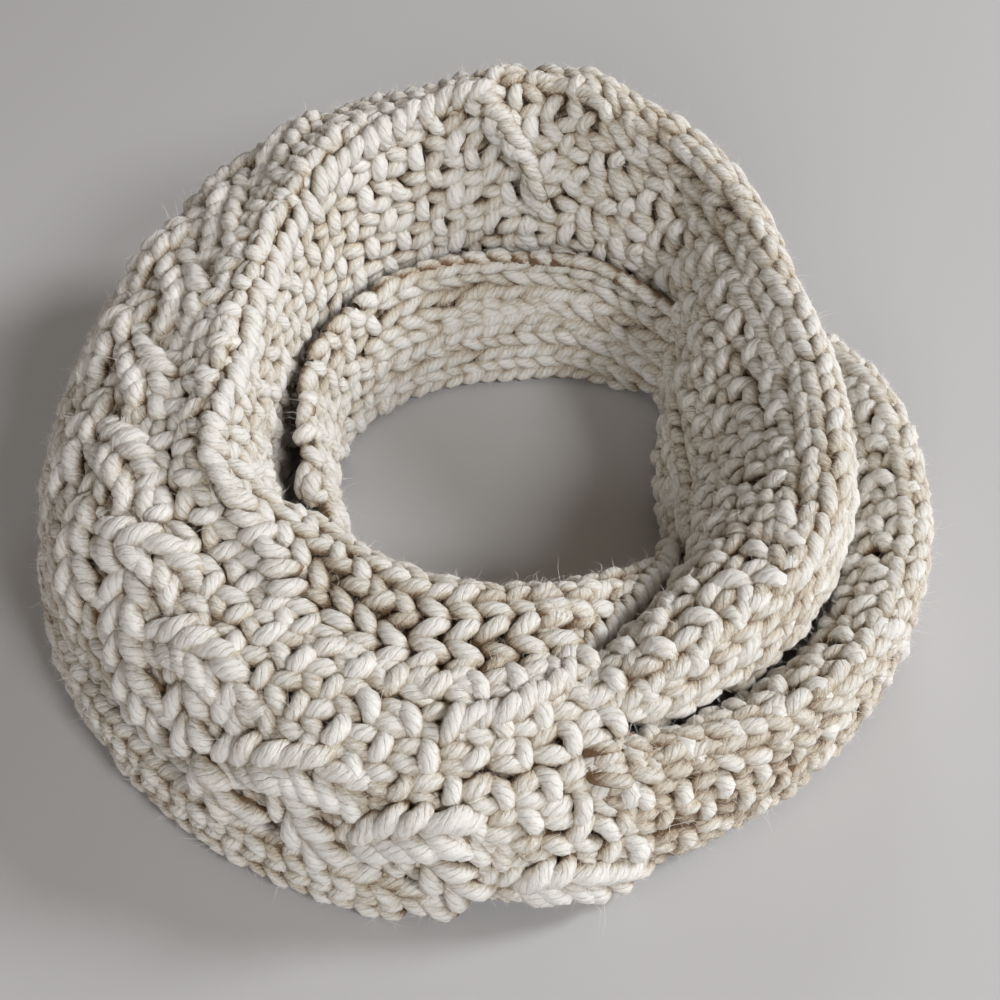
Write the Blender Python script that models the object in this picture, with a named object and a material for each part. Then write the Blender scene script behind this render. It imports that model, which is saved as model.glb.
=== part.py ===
"""Infinity scarf in thick knitted wool, wound twice into a ring and laid flat on a table.

+Z is up. Azimuths are about the ring's centre: 0 is +X, 90 the tall back, 270 the front. The
origin is on the table, under the middle of the whole scarf.
Each stretch of the band is a loft: a section across the band, an arch over the layers below it,
carried round the ring. A section is worked out from its two feet and its crest.
"""
import math
from collections import namedtuple

import bmesh
import bpy

# ---- driving sizes, in metres ----------------------------------------------------------------
MM = 0.001
CLOTH = 8 * MM            # thickness of the knitted cloth, about one yarn doubled
SEAM_GAP = 0.3 * MM       # between stretches that meet end to end
LAYER_GAP = 1.5 * MM      # between the cloth and the hidden layers under it
RING_CENTRE = (1.3 * MM, -9.2 * MM)   # the back stands out further than the front
STEP_DEGREES = 5.0        # between two sections round the ring
WALL_STEPS = 6            # steps from a foot to the crest of a wall
FOLD_STEPS = 5            # the same on a doubled fold or on the hidden layers

WOOL_COLOUR = (0.80, 0.75, 0.66, 1.0)
SHADE_COLOUR = (0.62, 0.52, 0.40, 1.0)
WOOL_ROUGHNESS = 0.95

# ---- sections round the ring, in millimetres -------------------------------------------------
# hole: the foot beside the neck opening, rim: the foot at the outside.
# full: how boxy the arch is on that side, 2 is an ellipse.
Section = namedtuple("Section", "azimuth hole_r hole_z crest_r crest_z rim_r rim_z hole_full rim_full")

# The upper turn, from the fold that dies out over the front right, round the back to the front.
UPPER_TURN = [
    Section(-74, 101, 50, 111, 60, 121, 50, 2.0, 2.0),
    Section(-64, 97, 50, 111, 66, 124, 46, 2.2, 2.2),
    Section(-50, 90, 47, 112, 71, 127, 44, 2.2, 2.2),
    Section(-34, 84, 43, 118, 76, 131, 42, 2.0, 2.2),
    Section(-18, 73, 28, 120, 80, 133, 38, 1.7, 2.2),
    Section(2, 68, 8, 118, 85, 132, 36, 1.6, 2.2),
    Section(22, 74, 6, 119, 92, 136, 30, 1.7, 2.2),
    Section(41, 101, 6, 128, 103, 156, 10, 1.9, 2.3),
    Section(52, 114, 14, 134, 110, 164, 5, 1.9, 2.4),
    Section(62, 113, 20, 139, 115, 168, 5, 2.0, 2.4),
    Section(78, 109, 26, 144, 119, 172, 5, 2.1, 2.4),
    Section(95, 108, 28, 132, 118, 176, 5, 2.3, 2.4),
    Section(115, 104, 28, 124, 115, 178, 5, 2.3, 2.4),
    Section(135, 92, 28, 106, 106, 178, 5, 2.3, 2.4),
    Section(155, 80, 28, 94, 99, 175, 6, 2.3, 2.1),
    Section(178, 76, 28, 92, 92, 165, 24, 2.3, 1.7),
    Section(200, 74, 24, 98, 85, 158, 26, 2.2, 1.7),
    Section(218, 56, 12, 90, 73, 151, 26, 2.4, 1.9),
    Section(240, 56, 6, 84, 71, 150, 26, 2.6, 2.0),
    Section(262, 58, 6, 84, 70, 153, 22, 2.6, 2.0),
    Section(285, 59, 6, 84, 66, 154, 6, 2.4, 2.0),
]

# The lower turn outside the upper one, at the right.
LOWER_RIGHT = [
    Section(285, 124, 42, 130, 54, 154, 6, 2.0, 2.0),
    Section(297, 126, 36, 134, 51, 154, 6, 2.0, 2.4),
    Section(312, 129, 32, 141, 50, 157, 6, 2.0, 2.6),
    Section(330, 133, 30, 148, 50, 162, 6, 2.0, 2.6),
    Section(350, 134, 30, 151, 52, 166, 6, 2.0, 2.6),
    Section(370, 135, 30, 150, 56, 166, 6, 2.0, 2.4),
    Section(382, 139, 30, 146, 54, 160, 6, 2.0, 2.2),
]

# The lower turn seen inside the collar, at the back and down the left side of the opening.
LOWER_INSIDE = [
    Section(50, 104, 4, 108, 54, 111, 36, 2.4, 2.0),
    Section(65, 98, 4, 106, 62, 110, 40, 2.4, 2.0),
    Section(85, 89, 4, 100, 63, 106, 40, 2.4, 2.0),
    Section(105, 85, 4, 97, 62, 103, 40, 2.4, 2.0),
    Section(130, 78, 4, 86, 60, 92, 40, 2.4, 2.0),
    Section(150, 66, 4, 75, 60, 80, 40, 2.4, 2.0),
    Section(170, 56, 4, 65, 56, 74, 36, 2.4, 2.0),
    Section(190, 52, 4, 62, 46, 72, 30, 2.4, 2.0),
    Section(206, 50, 4, 58, 34, 65, 22, 2.4, 2.0),
]

# The band's inner edge at the front right, which runs in under the upper turn.
FRONT_EDGE = [
    Section(285, 59, 6, 84, 66, 99, 46, 2.4, 2.0),
    Section(300, 61, 5, 78, 58, 92, 34, 2.4, 2.0),
    Section(315, 64, 4, 76, 49, 88, 28, 2.4, 2.0),
    Section(330, 67, 4, 76, 37, 84, 22, 2.4, 2.0),
    Section(342, 69, 4, 74, 22, 80, 14, 2.4, 2.0),
]

# The lip of the lower turn that shows under the upper one, at the left and the front left.
UNDER_LEFT = [
    Section(168, 160, 4, 165, 10, 171, 4, 2.0, 2.0),
    Section(180, 156, 4, 162, 22, 168, 5, 2.0, 2.4),
    Section(200, 150, 4, 157, 24, 163, 5, 2.0, 2.4),
    Section(220, 144, 4, 151, 24, 159, 5, 2.0, 2.4),
    Section(240, 142, 4, 150, 24, 158, 5, 2.0, 2.4),
    Section(258, 145, 4, 151, 20, 158, 5, 2.0, 2.4),
    Section(268, 148, 4, 153, 9, 157, 4, 2.0, 2.0),
]

# ---- largest folds ---------------------------------------------------------------------------
# share: place across the arch, 0 at the hole foot, 0.5 at the crest, 1 at the rim foot.
# turn: how far the fold's line moves across the arch for each degree round the ring.
# depth: millimetres, below the surface where it is negative.
Fold = namedtuple("Fold", "azimuth share half_azimuth half_share turn depth")

UPPER_FOLDS = [
    Fold(50, 0.30, 22, 0.07, -0.004, -5.0),   # valley down the collar's inner face
    Fold(80, 0.42, 12, 0.09, 0.000, 4.0),     # top of the collar flopped inward
    Fold(104, 0.50, 8, 0.10, 0.000, -3.0),    # dip beside the flop
    Fold(12, 0.30, 30, 0.08, 0.001, -3.5),    # hollow above the inner columns
    Fold(170, 0.72, 30, 0.07, 0.001, -3.0),   # trough between plain and plaited columns
    Fold(245, 0.56, 34, 0.06, 0.000, -3.5),   # trough outside the front columns
    Fold(236, 0.76, 34, 0.07, 0.001, 2.5),    # swell of the plaited columns
    Fold(-40, 0.62, 22, 0.08, 0.000, 2.5),    # ridge of the dying fold
]
INSIDE_FOLDS = [
    Fold(82, 0.27, 34, 0.07, 0.000, -6.0),    # crease between the two bulges
    Fold(128, 0.30, 18, 0.10, 0.000, 2.0),
]
RIGHT_FOLDS = [
    Fold(326, 0.62, 16, 0.08, 0.002, 2.5),    # fold ridge at the front right
    Fold(352, 0.36, 22, 0.08, 0.000, -2.5),
]


def between(rows, azimuth):
    """Read a table at an azimuth, on a smooth curve that never overshoots its rows."""
    values = [row[1:] for row in rows]
    places = [row.azimuth for row in rows]
    last = len(rows) - 1
    i = 0
    while i < last - 1 and azimuth > places[i + 1]:
        i += 1
    width = places[i + 1] - places[i]
    t = (azimuth - places[i]) / width
    found = []
    for column in range(len(values[0])):
        slope = [(values[k + 1][column] - values[k][column]) / (places[k + 1] - places[k])
                 for k in range(last)]

        def tangent(k):
            if k == 0 or k == last:
                return slope[min(k, last - 1)]
            if slope[k - 1] * slope[k] <= 0:
                return 0.0
            return 2 * slope[k - 1] * slope[k] / (slope[k - 1] + slope[k])

        a = values[i][column]
        b = values[i + 1][column]
        found.append(a * (2 * t ** 3 - 3 * t ** 2 + 1) + b * (3 * t ** 2 - 2 * t ** 3)
                     + width * (tangent(i) * (t ** 3 - 2 * t ** 2 + t) + tangent(i + 1) * (t ** 3 - t ** 2)))
    return Section(azimuth, *found)


def arch(section, steps, inset=0.0):
    """Points (radius, height) over a section, from the hole foot to the rim foot."""
    hole_r = section.hole_r + inset
    rim_r = section.rim_r - inset
    crest_z = section.crest_z - inset
    points = []
    for k in range(steps + 1):
        angle = math.pi / 2 * k / steps
        out = math.cos(angle) ** (2 / section.hole_full)
        up = math.sin(angle) ** (2 / section.hole_full)
        points.append((section.crest_r + (hole_r - section.crest_r) * out,
                       section.hole_z + (crest_z - section.hole_z) * up))
    for k in range(1, steps + 1):
        angle = math.pi / 2 * k / steps
        out = math.sin(angle) ** (2 / section.rim_full)
        up = math.cos(angle) ** (2 / section.rim_full)
        points.append((section.crest_r + (rim_r - section.crest_r) * out,
                       section.rim_z + (crest_z - section.rim_z) * up))
    return points


def folded(points, azimuth, folds):
    """Move an arch's points along their own normals, as the folds of the cloth do."""
    last = len(points) - 1
    moved = []
    for k, (r, z) in enumerate(points):
        share = k / last
        rise = 0.0
        for fold in folds:
            along = (azimuth - fold.azimuth) / fold.half_azimuth
            line = fold.share + fold.turn * (azimuth - fold.azimuth)
            across = (share - line) / fold.half_share
            rise += fold.depth * math.exp(-0.5 * (along ** 2 + across ** 2))
        before = points[max(k - 1, 0)]
        after = points[min(k + 1, last)]
        dr = after[0] - before[0]
        dz = after[1] - before[1]
        length = math.hypot(dr, dz)
        fade = math.sin(math.pi * share) ** 0.5
        moved.append((r - dz / length * rise * fade, z + dr / length * rise * fade))
    return moved


def wall_outline(rows, azimuth, folds):
    """Closed outline of one thickness of cloth: its outer arch and back along its inner one."""
    section = between(rows, azimuth)
    outer = folded(arch(section, WALL_STEPS), azimuth, folds)
    inner = arch(section, WALL_STEPS, inset=CLOTH / MM)
    return outer + inner[::-1]


def fold_outline(rows, azimuth, folds):
    """Closed outline of a doubled fold that lies on the table, filled right through."""
    section = between(rows, azimuth)
    over = folded(arch(section, FOLD_STEPS), azimuth, folds)
    return [(over[0][0], 0.0)] + over + [(over[-1][0], 0.0)]


def hidden_outline(rows, azimuth, folds):
    """Closed outline of the hidden layers, which fill the arch of the cloth above them."""
    inset = (CLOTH + LAYER_GAP) / MM
    over = arch(between(rows, azimuth), FOLD_STEPS, inset=inset)
    return [(over[0][0], 0.0)] + over + [(over[-1][0], 0.0)]


def loft(name, outline, rows, folds, start, end):
    """Carry an outline round the ring from one azimuth to another, as one closed solid."""
    gap = math.degrees(SEAM_GAP / 2 / (rows[0].hole_r * MM))
    first = start + gap
    last = end - gap
    count = max(2, round((last - first) / STEP_DEGREES))
    mesh = bmesh.new()
    rings = []
    for i in range(count + 1):
        azimuth = first + (last - first) * i / count
        turn = math.radians(azimuth)
        rings.append([mesh.verts.new((RING_CENTRE[0] + r * MM * math.cos(turn),
                                      RING_CENTRE[1] + r * MM * math.sin(turn), z * MM))
                      for r, z in outline(rows, azimuth, folds)])
    size = len(rings[0])
    for ring, following in zip(rings, rings[1:]):
        for k in range(size):
            mesh.faces.new((ring[k], ring[(k + 1) % size], following[(k + 1) % size], following[k]))
    for ring in (rings[0], rings[-1]):
        for k in range((size - 1) // 2):
            corners = (ring[k], ring[k + 1], ring[size - 2 - k], ring[size - 1 - k])
            mesh.faces.new(tuple(dict.fromkeys(corners)))
    bmesh.ops.recalc_face_normals(mesh, faces=mesh.faces)
    data = bpy.data.meshes.new(name)
    mesh.to_mesh(data)
    mesh.free()
    return bpy.data.objects.new(name, data)


def material(name, colour):
    made = bpy.data.materials.new(name)
    made.use_nodes = True
    shader = made.node_tree.nodes["Principled BSDF"]
    shader.inputs["Base Color"].default_value = colour
    shader.inputs["Roughness"].default_value = WOOL_ROUGHNESS
    shader.inputs["Metallic"].default_value = 0.0
    made.diffuse_color = colour
    return made


# ---- the stretches of the band ---------------------------------------------------------------
Stretch = namedtuple("Stretch", "name outline rows folds start end")
STRETCHES = [
    Stretch("upper_wrap_right", wall_outline, UPPER_TURN, UPPER_FOLDS, -74, 40),
    Stretch("upper_wrap_back", wall_outline, UPPER_TURN, UPPER_FOLDS, 40, 130),
    Stretch("upper_wrap_left", wall_outline, UPPER_TURN, UPPER_FOLDS, 130, 205),
    Stretch("front_wrap", wall_outline, UPPER_TURN, UPPER_FOLDS, 205, 285),
    Stretch("front_inner_edge", fold_outline, FRONT_EDGE, [], 285, 342),
    Stretch("lower_wrap_right", fold_outline, LOWER_RIGHT, RIGHT_FOLDS, 285, 382),
    Stretch("inner_wrap_back", fold_outline, LOWER_INSIDE, INSIDE_FOLDS, 50, 130),
    Stretch("inner_wrap_left", fold_outline, LOWER_INSIDE, INSIDE_FOLDS, 130, 206),
    Stretch("under_wrap_left", fold_outline, UNDER_LEFT, [], 168, 268),
    Stretch("hidden_folds_right", hidden_outline, UPPER_TURN, [], -60, 40),
    Stretch("hidden_folds_back", hidden_outline, UPPER_TURN, [], 40, 130),
    Stretch("hidden_folds_left", hidden_outline, UPPER_TURN, [], 130, 205),
    Stretch("hidden_folds_front", hidden_outline, UPPER_TURN, [], 205, 284),
]


def clear_scene():
    for old in list(bpy.data.objects):
        bpy.data.objects.remove(old, do_unlink=True)


def main():
    clear_scene()
    scarf = bpy.data.collections.new("infinity_scarf")
    bpy.context.scene.collection.children.link(scarf)
    wool = material("wool", WOOL_COLOUR)
    shaded_wool = material("wool_hidden", SHADE_COLOUR)
    for stretch in STRETCHES:
        piece = loft(*stretch)
        piece.data.materials.append(shaded_wool if "hidden" in stretch.name else wool)
        piece.data.shade_smooth()
        piece.data.set_sharp_from_angle(angle=math.radians(40))
        scarf.objects.link(piece)


main()
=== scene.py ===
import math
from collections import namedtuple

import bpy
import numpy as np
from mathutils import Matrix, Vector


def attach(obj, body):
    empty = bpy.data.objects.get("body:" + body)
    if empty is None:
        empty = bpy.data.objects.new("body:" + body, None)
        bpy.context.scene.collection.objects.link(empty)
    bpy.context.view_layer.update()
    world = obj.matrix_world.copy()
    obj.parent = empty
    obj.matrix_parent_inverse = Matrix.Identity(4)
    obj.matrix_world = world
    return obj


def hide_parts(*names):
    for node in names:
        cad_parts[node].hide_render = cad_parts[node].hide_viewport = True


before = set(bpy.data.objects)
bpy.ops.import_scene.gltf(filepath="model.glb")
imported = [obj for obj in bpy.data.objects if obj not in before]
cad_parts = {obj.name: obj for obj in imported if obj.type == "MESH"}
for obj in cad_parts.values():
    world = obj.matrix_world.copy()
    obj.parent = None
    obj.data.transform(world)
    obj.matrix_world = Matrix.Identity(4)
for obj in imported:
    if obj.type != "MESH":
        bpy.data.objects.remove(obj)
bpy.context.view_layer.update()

# %% [markdown]
# # A thick knitted infinity scarf
#
# The scarf is a closed band of chunky wool, wound twice into a ring and laid flat. The CAD gives
# each stretch of the band its place and its main folds. Here they are dressed in knitting: thin
# backing cloths, and on them every stitch as its own short length of yarn, because in wool this
# thick each stitch catches light and leaves a dark gap beside it.

MM = 0.001

# %% [markdown]
# ## The form of the band
#
# A section across the band is an arch with a foot at the neck opening, a crest and a foot at the
# rim. These are the same tables as the CAD's, in millimetres about the ring's centre, so that the
# knitting lies on the CAD's form. Each arch is two quarter ellipses, more or less boxy.

# %% Section tables
RING_CENTRE = (1.3 * MM, -9.2 * MM)
Section = namedtuple("Section", "azimuth hole_r hole_z crest_r crest_z rim_r rim_z hole_full rim_full")


def sections(table):
    return [Section(*row) for row in table]


UPPER_TURN = sections([
    (-74, 101, 50, 111, 60, 121, 50, 2.0, 2.0),
    (-64, 97, 50, 111, 66, 124, 46, 2.2, 2.2),
    (-50, 90, 47, 112, 71, 127, 44, 2.2, 2.2),
    (-34, 84, 43, 118, 76, 131, 42, 2.0, 2.2),
    (-18, 73, 28, 120, 80, 133, 38, 1.7, 2.2),
    (2, 68, 8, 118, 85, 132, 36, 1.6, 2.2),
    (22, 74, 6, 119, 92, 136, 30, 1.7, 2.2),
    (41, 101, 6, 128, 103, 156, 10, 1.9, 2.3),
    (52, 114, 14, 134, 110, 164, 5, 1.9, 2.4),
    (62, 113, 20, 139, 115, 168, 5, 2.0, 2.4),
    (78, 109, 26, 144, 119, 172, 5, 2.1, 2.4),
    (95, 108, 28, 132, 118, 176, 5, 2.3, 2.4),
    (115, 104, 28, 124, 115, 178, 5, 2.3, 2.4),
    (135, 92, 28, 106, 106, 178, 5, 2.3, 2.4),
    (155, 80, 28, 94, 99, 175, 6, 2.3, 2.1),
    (178, 76, 28, 92, 92, 165, 24, 2.3, 1.7),
    (200, 74, 24, 98, 85, 158, 26, 2.2, 1.7),
    (218, 56, 12, 90, 73, 151, 26, 2.4, 1.9),
    (240, 56, 6, 84, 71, 150, 26, 2.6, 2.0),
    (262, 58, 6, 84, 70, 153, 22, 2.6, 2.0),
    (285, 59, 6, 84, 66, 154, 6, 2.4, 2.0),
])
LOWER_RIGHT = sections([
    (285, 124, 42, 130, 54, 154, 6, 2.0, 2.0),
    (297, 126, 36, 134, 51, 154, 6, 2.0, 2.4),
    (312, 129, 32, 141, 50, 157, 6, 2.0, 2.6),
    (330, 133, 30, 148, 50, 162, 6, 2.0, 2.6),
    (350, 134, 30, 151, 52, 166, 6, 2.0, 2.6),
    (370, 135, 30, 150, 56, 166, 6, 2.0, 2.4),
    (382, 139, 30, 146, 54, 160, 6, 2.0, 2.2),
])
LOWER_INSIDE = sections([
    (50, 104, 4, 108, 54, 111, 36, 2.4, 2.0),
    (65, 98, 4, 106, 62, 110, 40, 2.4, 2.0),
    (85, 89, 4, 100, 63, 106, 40, 2.4, 2.0),
    (105, 85, 4, 97, 62, 103, 40, 2.4, 2.0),
    (130, 78, 4, 86, 60, 92, 40, 2.4, 2.0),
    (150, 66, 4, 75, 60, 80, 40, 2.4, 2.0),
    (170, 56, 4, 65, 56, 74, 36, 2.4, 2.0),
    (190, 52, 4, 62, 46, 72, 30, 2.4, 2.0),
    (206, 50, 4, 58, 34, 65, 22, 2.4, 2.0),
])
FRONT_EDGE = sections([
    (285, 59, 6, 84, 66, 99, 46, 2.4, 2.0),
    (300, 61, 5, 78, 58, 92, 34, 2.4, 2.0),
    (315, 64, 4, 76, 49, 88, 28, 2.4, 2.0),
    (330, 67, 4, 76, 37, 84, 22, 2.4, 2.0),
    (342, 69, 4, 74, 22, 80, 14, 2.4, 2.0),
])
UNDER_LEFT = sections([
    (168, 160, 4, 165, 10, 171, 4, 2.0, 2.0),
    (180, 156, 4, 162, 22, 168, 5, 2.0, 2.4),
    (200, 150, 4, 157, 24, 163, 5, 2.0, 2.4),
    (220, 144, 4, 151, 24, 159, 5, 2.0, 2.4),
    (240, 142, 4, 150, 24, 158, 5, 2.0, 2.4),
    (258, 145, 4, 151, 20, 158, 5, 2.0, 2.4),
    (268, 148, 4, 153, 9, 157, 4, 2.0, 2.0),
])

# %% [markdown]
# ## Folds
#
# The large folds are the CAD's own. The smaller ones are added here: soft troughs and
# swells along and across the band, no two alike, where the wound cloth gives way.

# %% Fold tables
Fold = namedtuple("Fold", "azimuth share half_azimuth half_share turn depth")


def folds_of(table):
    return [Fold(*row) for row in table]


UPPER_FOLDS = folds_of([
    (50, 0.30, 22, 0.07, -0.004, -5.0),
    (80, 0.42, 12, 0.09, 0.000, 4.0),
    (104, 0.50, 8, 0.10, 0.000, -3.0),
    (12, 0.30, 30, 0.08, 0.001, -3.5),
    (170, 0.72, 30, 0.07, 0.001, -3.0),
    (245, 0.56, 34, 0.06, 0.000, -3.5),
    (236, 0.76, 34, 0.07, 0.001, 2.5),
    (-40, 0.62, 22, 0.08, 0.000, 2.5),
    # smaller, only in the knitting
    (85, 0.45, 6, 0.06, 0.000, 3.2),
    (82, 0.265, 4.5, 0.028, 0.0165, 5.0),
    (84, 0.235, 5, 0.028, 0.0165, -3.0),
    (76, 0.36, 4, 0.05, 0.000, -3.0),
    (77, 0.47, 3, 0.07, 0.000, -2.6),
    (70, 0.46, 4, 0.06, 0.000, 3.0),
    (156, 0.585, 36, 0.045, 0.000, -7.0),
    (128, 0.66, 12, 0.10, 0.002, -2.0),
    (152, 0.80, 9, 0.12, 0.000, 2.0),
    (62, 0.72, 10, 0.12, -0.002, -2.0),
    (96, 0.80, 12, 0.10, 0.001, 2.0),
    (25, 0.42, 12, 0.05, 0.001, -1.5),
    (214, 0.66, 9, 0.10, 0.002, 1.8),
    (262, 0.70, 10, 0.08, 0.000, -1.8),
    (190, 0.60, 10, 0.06, 0.000, -1.6),
])
INSIDE_FOLDS = folds_of([
    (82, 0.27, 34, 0.07, 0.000, -6.0),
    (128, 0.30, 18, 0.10, 0.000, 2.0),
    (160, 0.24, 12, 0.08, 0.001, -1.6),
])
RIGHT_FOLDS = folds_of([
    (326, 0.62, 16, 0.08, 0.002, 2.5),
    (352, 0.36, 22, 0.08, 0.000, -2.5),
    (300, 0.72, 10, 0.10, 0.002, -1.6),
])

# %% [markdown]
# ## From tables to arches
#
# Cloth has no corners between one section and the next, so the values are read on a soft curve.
# The folds then push each arch in or out, and fade at its feet, where the cloth rests.

# %% Arches
ARCH_STEPS = 24  # points on each half of an arch


def curve(first, second, slopes, t):
    """A soft curve from one value to the next, with a slope at each end."""
    return (first * (2 * t ** 3 - 3 * t ** 2 + 1) + second * (3 * t ** 2 - 2 * t ** 3)
            + slopes[0] * (t ** 3 - 2 * t ** 2 + t) + slopes[1] * (t ** 3 - t ** 2))


def between(rows, azimuths):
    """Section values at each azimuth, on curves that never overshoot the table."""
    places = np.array([row.azimuth for row in rows], float)
    values = np.array([row[1:] for row in rows], float)
    width = np.diff(places)
    slope = np.diff(values, axis=0) / width[:, None]
    inner = slope[:-1] * slope[1:]
    total = slope[:-1] + slope[1:]
    middle = np.where(inner > 0, 2 * inner / np.where(inner > 0, total, 1), 0)
    tangent = np.vstack([slope[:1], middle, slope[-1:]])
    i = np.clip(np.searchsorted(places, azimuths) - 1, 0, len(rows) - 2)
    t = ((azimuths - places[i]) / width[i])[:, None]
    wide = width[i][:, None]
    return curve(values[i], values[i + 1], (wide * tangent[i], wide * tangent[i + 1]), t)


def arches(rows, azimuths, folds):
    """Radius and height, in millimetres, of every arch point at every azimuth."""
    section = between(rows, azimuths).T[..., None]
    hole_r, hole_z, crest_r, crest_z, rim_r, rim_z, hole_full, rim_full = section
    angle = np.linspace(0, math.pi / 2, ARCH_STEPS + 1)[None, :]
    c = np.clip(np.cos(angle), 0, 1)
    s = np.clip(np.sin(angle), 0, 1)
    r = np.hstack([crest_r + (hole_r - crest_r) * c ** (2 / hole_full),
                   (crest_r + (rim_r - crest_r) * s ** (2 / rim_full))[:, 1:]])
    z = np.hstack([hole_z + (crest_z - hole_z) * s ** (2 / hole_full),
                   (rim_z + (crest_z - rim_z) * c ** (2 / rim_full))[:, 1:]])
    share = np.linspace(0, 1, 2 * ARCH_STEPS + 1)[None, :]
    rise = np.zeros_like(r)
    for fold in folds:
        along = (azimuths[:, None] - fold.azimuth) / fold.half_azimuth
        line = fold.share + fold.turn * (azimuths[:, None] - fold.azimuth)
        rise += fold.depth * np.exp(-0.5 * (along ** 2 + ((share - line) / fold.half_share) ** 2))
    dr = np.gradient(r, axis=1)
    dz = np.gradient(z, axis=1)
    length = np.hypot(dr, dz)
    rise *= np.sin(math.pi * share) ** 0.5
    return r - dz / length * rise, z + dr / length * rise


# %% [markdown]
# ## A map for the knitting
#
# Knitting runs round the ring in columns, so three numbers place a stitch: the azimuth, the distance
# along the arch from its crest (less than 0 towards the neck opening) and the height above the
# cloth. Each surface is read onto an even grid once, which turns those three into a point.

# %% Surface grids
GRID_A = 2.0  # millimetres between grid lines along the arch
GRID_MARGIN = 12  # millimetres that the grid runs on past the arch's feet
Surface = namedtuple("Surface", "name first last a_first points normals low high radius")


def surface(name, rows, folds, first, last):
    """Even grid over one turn of the band, a line at each degree from first to last."""
    azimuths = np.arange(first, last + 1.0)
    r, z = arches(rows, azimuths, folds)
    step = np.hypot(np.diff(r, axis=1), np.diff(z, axis=1))
    run = np.hstack([np.zeros((len(r), 1)), np.cumsum(step, axis=1)])
    run -= run[:, ARCH_STEPS:ARCH_STEPS + 1]
    low = run[:, 0]
    high = run[:, -1]
    a_first = math.floor(low.min() / GRID_A) * GRID_A - GRID_MARGIN
    grid = np.arange(a_first, high.max() + GRID_MARGIN + 1, GRID_A)
    rr = np.empty((len(azimuths), len(grid)))
    zz = np.empty_like(rr)
    for i in range(len(azimuths)):
        rr[i] = np.interp(grid, run[i], r[i])
        zz[i] = np.interp(grid, run[i], z[i])
        for over, end, back in ((low[i] - grid, 0, 2), (grid - high[i], -1, -3)):
            beyond = over > 0
            dr = r[i, end] - r[i, back]
            dz = z[i, end] - z[i, back]
            long = math.hypot(dr, dz)
            rr[i, beyond] += over[beyond] * dr / long
            zz[i, beyond] += over[beyond] * dz / long
    turn = np.radians(azimuths)[:, None]
    x = RING_CENTRE[0] + rr * MM * np.cos(turn)
    y = RING_CENTRE[1] + rr * MM * np.sin(turn)
    points = np.dstack([x, y, zz * MM])
    across = np.gradient(points, axis=1)
    along = np.gradient(points, axis=0)
    normals = unit(np.cross(across, along))
    return Surface(name, first, last, a_first, points, normals, low, high, rr)


def unit(vectors, least=0.0):
    return vectors / (np.linalg.norm(vectors, axis=-1, keepdims=True) + least)


def read_grid(values, s, azimuth, a):
    """Values of a surface's grid between its lines."""
    u = np.clip(azimuth - s.first, 0, s.last - s.first - 1e-6)
    v = np.clip((a - s.a_first) / GRID_A, 0, values.shape[1] - 1.001)
    i = u.astype(int)
    j = v.astype(int)
    fu = u - i
    fv = v - j
    if values.ndim == 3:
        fu = fu[..., None]
        fv = fv[..., None]
    return ((values[i, j] * (1 - fu) + values[i + 1, j] * fu) * (1 - fv)
            + (values[i, j + 1] * (1 - fu) + values[i + 1, j + 1] * fu) * fv)


def place(s, azimuth, a, height):
    """World points on a surface, a height in millimetres above it; past its ends it is turned on."""
    normal = unit(read_grid(s.normals, s, azimuth, a))
    point = read_grid(s.points, s, azimuth, a) + normal * (height * MM)[..., None]
    past = np.radians(azimuth - np.clip(azimuth, s.first, s.last))
    c = np.cos(past)
    n = np.sin(past)
    made = []
    for v, centre in ((point, RING_CENTRE), (normal, (0, 0))):
        x = v[..., 0] - centre[0]
        y = v[..., 1] - centre[1]
        turned = [centre[0] + c * x - n * y, centre[1] + n * x + c * y, v[..., 2]]
        made.append(np.stack(turned, axis=-1))
    return made


SURFACES = {s.name: s for s in [
    surface("upper", UPPER_TURN, UPPER_FOLDS, -74, 285),
    surface("right", LOWER_RIGHT, RIGHT_FOLDS, 285, 382),
    surface("inside", LOWER_INSIDE, INSIDE_FOLDS, 50, 206),
    surface("edge", FRONT_EDGE, [], 285, 342),
    surface("under", UNDER_LEFT, [], 168, 268),
]}
for s in SURFACES.values():
    across = s.high - s.low
    print(s.name, "arch", round(float(across.min())), "to", round(float(across.max())), "mm")

# %% [markdown]
# ## Columns of stitches
#
# A knitted band is columns of stitches, side by side. Four kinds show here: plain columns, pulled
# long where the cloth is stretched over the crest; moss stitch, where plain and purl change places
# every stitch and make beads; a plait of three ropes along the rim; and a raised cord of slanting
# stitches along the crest.

# %% Stitch kinds
# millimetres: from one stitch to the next, across a column, and half the yarn's thickness
Kind = namedtuple("Kind", "pitch width thick")
KINDS = {
    "plain": Kind(7.6, 12.6, 3.05),
    "long": Kind(9.0, 12.2, 3.1),
    "moss": Kind(7.2, 10.8, 3.1),
    "cord": Kind(7.0, 10.0, 3.0),
    "plait": Kind(7.0, 13.0, 2.9),
}

# %% [markdown]
# Each panel is a patch of one kind. A short table gives its edges: at each azimuth, where it starts
# and ends across the arch, in millimetres from the crest. Its columns lie side by side between them.

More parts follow.
